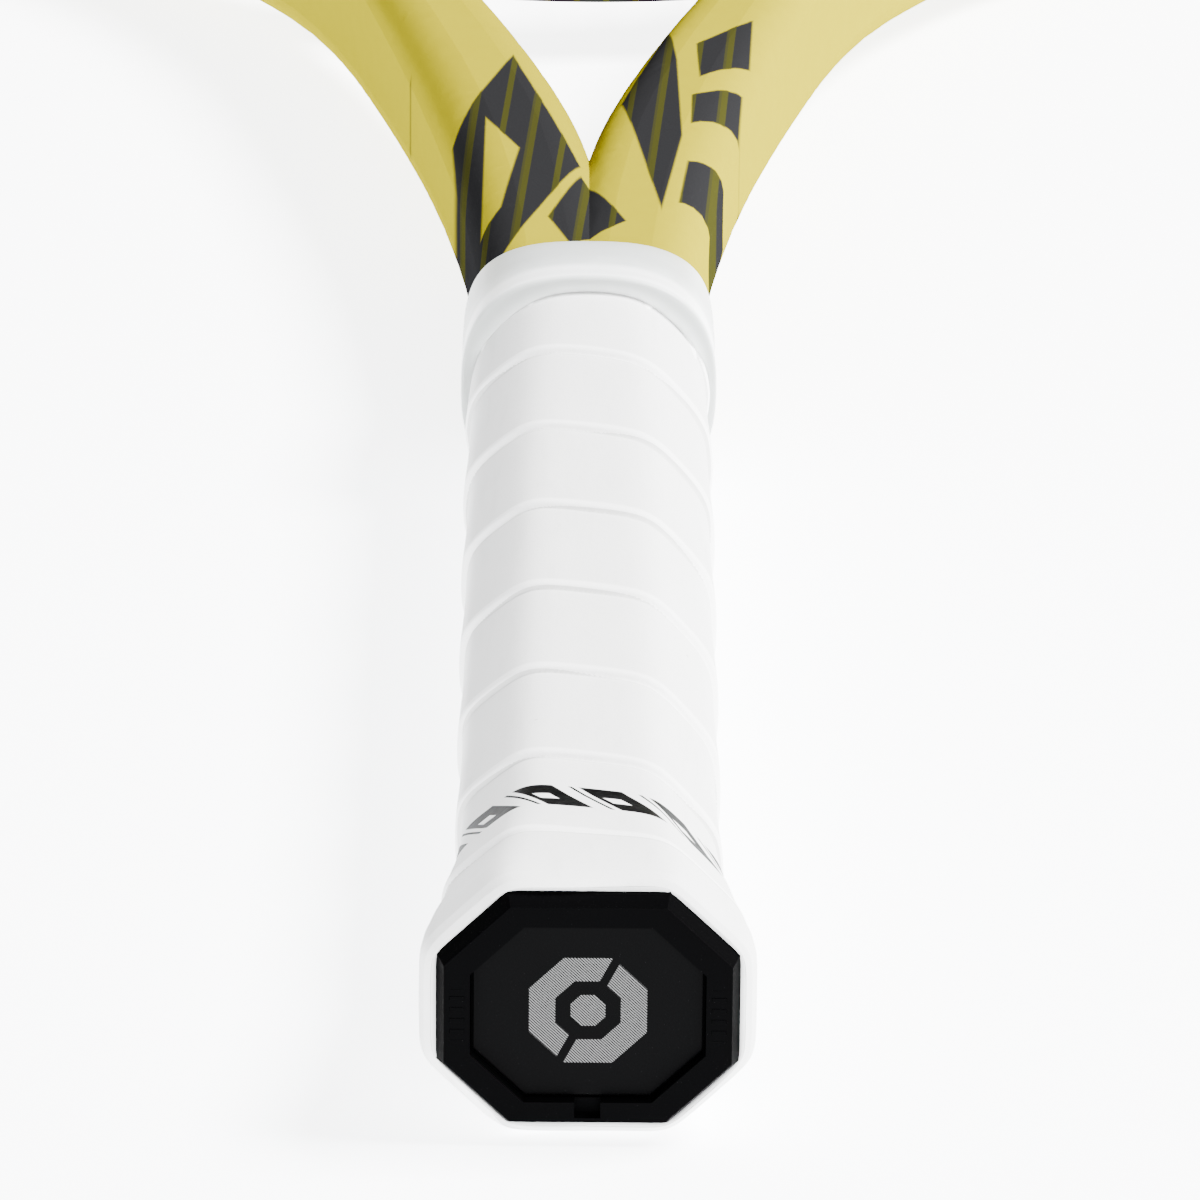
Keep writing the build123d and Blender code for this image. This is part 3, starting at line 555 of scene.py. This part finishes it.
def staple_wire():
    """Drawn steel wire with fine lengthwise lines."""
    f = Finish("staple_wire", (0.5, 0.5, 0.5), 0.32, metallic=1.0)
    lines = f.noise(3.0, 3.0, 0.6, f.spot(0.3, 4.0, 4.0))
    f.put("Base Color", f.mix((0.55, 0.55, 0.56), (0.40, 0.40, 0.41), lines))
    f.put("Roughness", 0.25 + lines * 0.2)
    return f


def tape_vinyl():
    """Thin black vinyl tape, slightly wrinkled."""
    f = Finish("tape_vinyl", (0.003, 0.003, 0.003), 0.35, specular_ior_level=0.1)
    folds = f.noise(0.5, 4.0, 0.6, f.spot(1, 0.3, 1))
    f.put("Base Color", f.mix((0.0025, 0.0025, 0.0027), (0.006, 0.006, 0.006), folds))
    f.put("Roughness", 0.3 + folds * 0.2)
    f.bump(folds * 0.2, 1.0)
    return f


frame_lacquer().wear("hairpin_frame")
bridge_lacquer().wear("throat_bridge")
cap_plastic().wear("butt_cap")
door_plastic().wear("trap_door")
strip_nylon().wear("bumper_guard", "side_strip_left", "side_strip_right", "bridge_strip")
string_nylon().wear("main_string", "cross_string", "string_knots")
pallet_foam().wear("handle_pallet", "shaft_foam_plugs")
staple_wire().wear("butt_cap_staples", "grip_staple")
tape_vinyl().wear("finishing_tape")

wrap = wrap_surface()
wrap.data.materials.append(wrap_leather().material)
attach(wrap, "racket")
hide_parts("grip_wrap")

collar = collar_surface()
collar.data.materials.append(collar_rubber().material)
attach(collar, "racket")
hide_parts("rubber_collar")

# ------------------------------------------------------------------ floor, light and camera
FLOOR_Z = CAD_BOX[0][2] - 0.0002
GLOW = 5.5


def floor_sheet():
    """A large pale sweep of paper under the racket."""
    f = Finish("floor_paper", (0.86, 0.865, 0.875), 0.7, specular_ior_level=0.0)
    f.put("Base Color", f.mix((0.81, 0.815, 0.825), (0.80, 0.805, 0.815), f.noise(0.01)))
    f.put("Emission Color", (0.97, 0.985, 1.0, 1.0))
    f.put("Emission Strength", GLOW)
    side, near, far, level = 6000, -5000, 9000, FLOOR_Z / MM
    edges = [[(-side, near, level), (side, near, level)], [(-side, far, level), (side, far, level)]]
    made = grid_mesh("floor", np.array(edges), closed_rows=False)
    made.data.materials.append(f.material)
    made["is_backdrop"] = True


def lamp(name, place, target, size, power):
    """A square soft light aimed at a point."""
    data = bpy.data.lights.new(name, "AREA")
    data.size = size
    data.energy = power
    made = bpy.data.objects.new(name, data)
    made.location = place
    made.rotation_euler = (Vector(target) - Vector(place)).to_track_quat("-Z", "Y").to_euler()
    bpy.context.scene.collection.objects.link(made)


def camera():
    """A long lens low over the butt, rolled a touch, aimed along the handle."""
    lift, swing, roll, reach = 0.453723, -0.004547, 0.009310, 1.635567
    aim = Vector((0.00161, 0.123835, 0.0))
    back = Vector((math.sin(swing) * math.cos(lift), -math.cos(swing) * math.cos(lift), math.sin(lift)))
    right = (-back).cross(Vector((0, 0, 1))).normalized()
    up = right.cross(-back)
    level = right * math.cos(roll) + up * math.sin(roll)
    rise = up * math.cos(roll) - right * math.sin(roll)
    data = bpy.data.cameras.new("camera")
    data.sensor_width = 36.0
    data.lens = 36.0 * 11773.5 / 1200
    data.clip_end = 100
    data.shift_y = -0.0028
    made = bpy.data.objects.new("camera", data)
    made.matrix_world = Matrix.Translation(aim + back * reach) @ Matrix((level, rise, back)).transposed().to_4x4()
    bpy.context.scene.collection.objects.link(made)
    bpy.context.scene.camera = made


floor_sheet()
camera()
lamp("key", (1.1, 0.1, 1.4), (0, 0.12, 0), 0.6, 215)
lamp("front", (0.35, -1.7, 0.75), (0, 0.0, 0), 0.8, 50)
world = bpy.data.worlds.new("studio")
bpy.context.scene.world = world
world.use_nodes = True
sky = world.node_tree.nodes["Background"]
sky.inputs["Color"].default_value = (0.96, 0.98, 1.0, 1)
sky.inputs["Strength"].default_value = 0.25

VISUAL_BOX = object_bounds()
boxes = {"cad": CAD_BOX, "visual": VISUAL_BOX}
boxes = {name: [list(map(float, corner)) for corner in box] for name, box in boxes.items()}
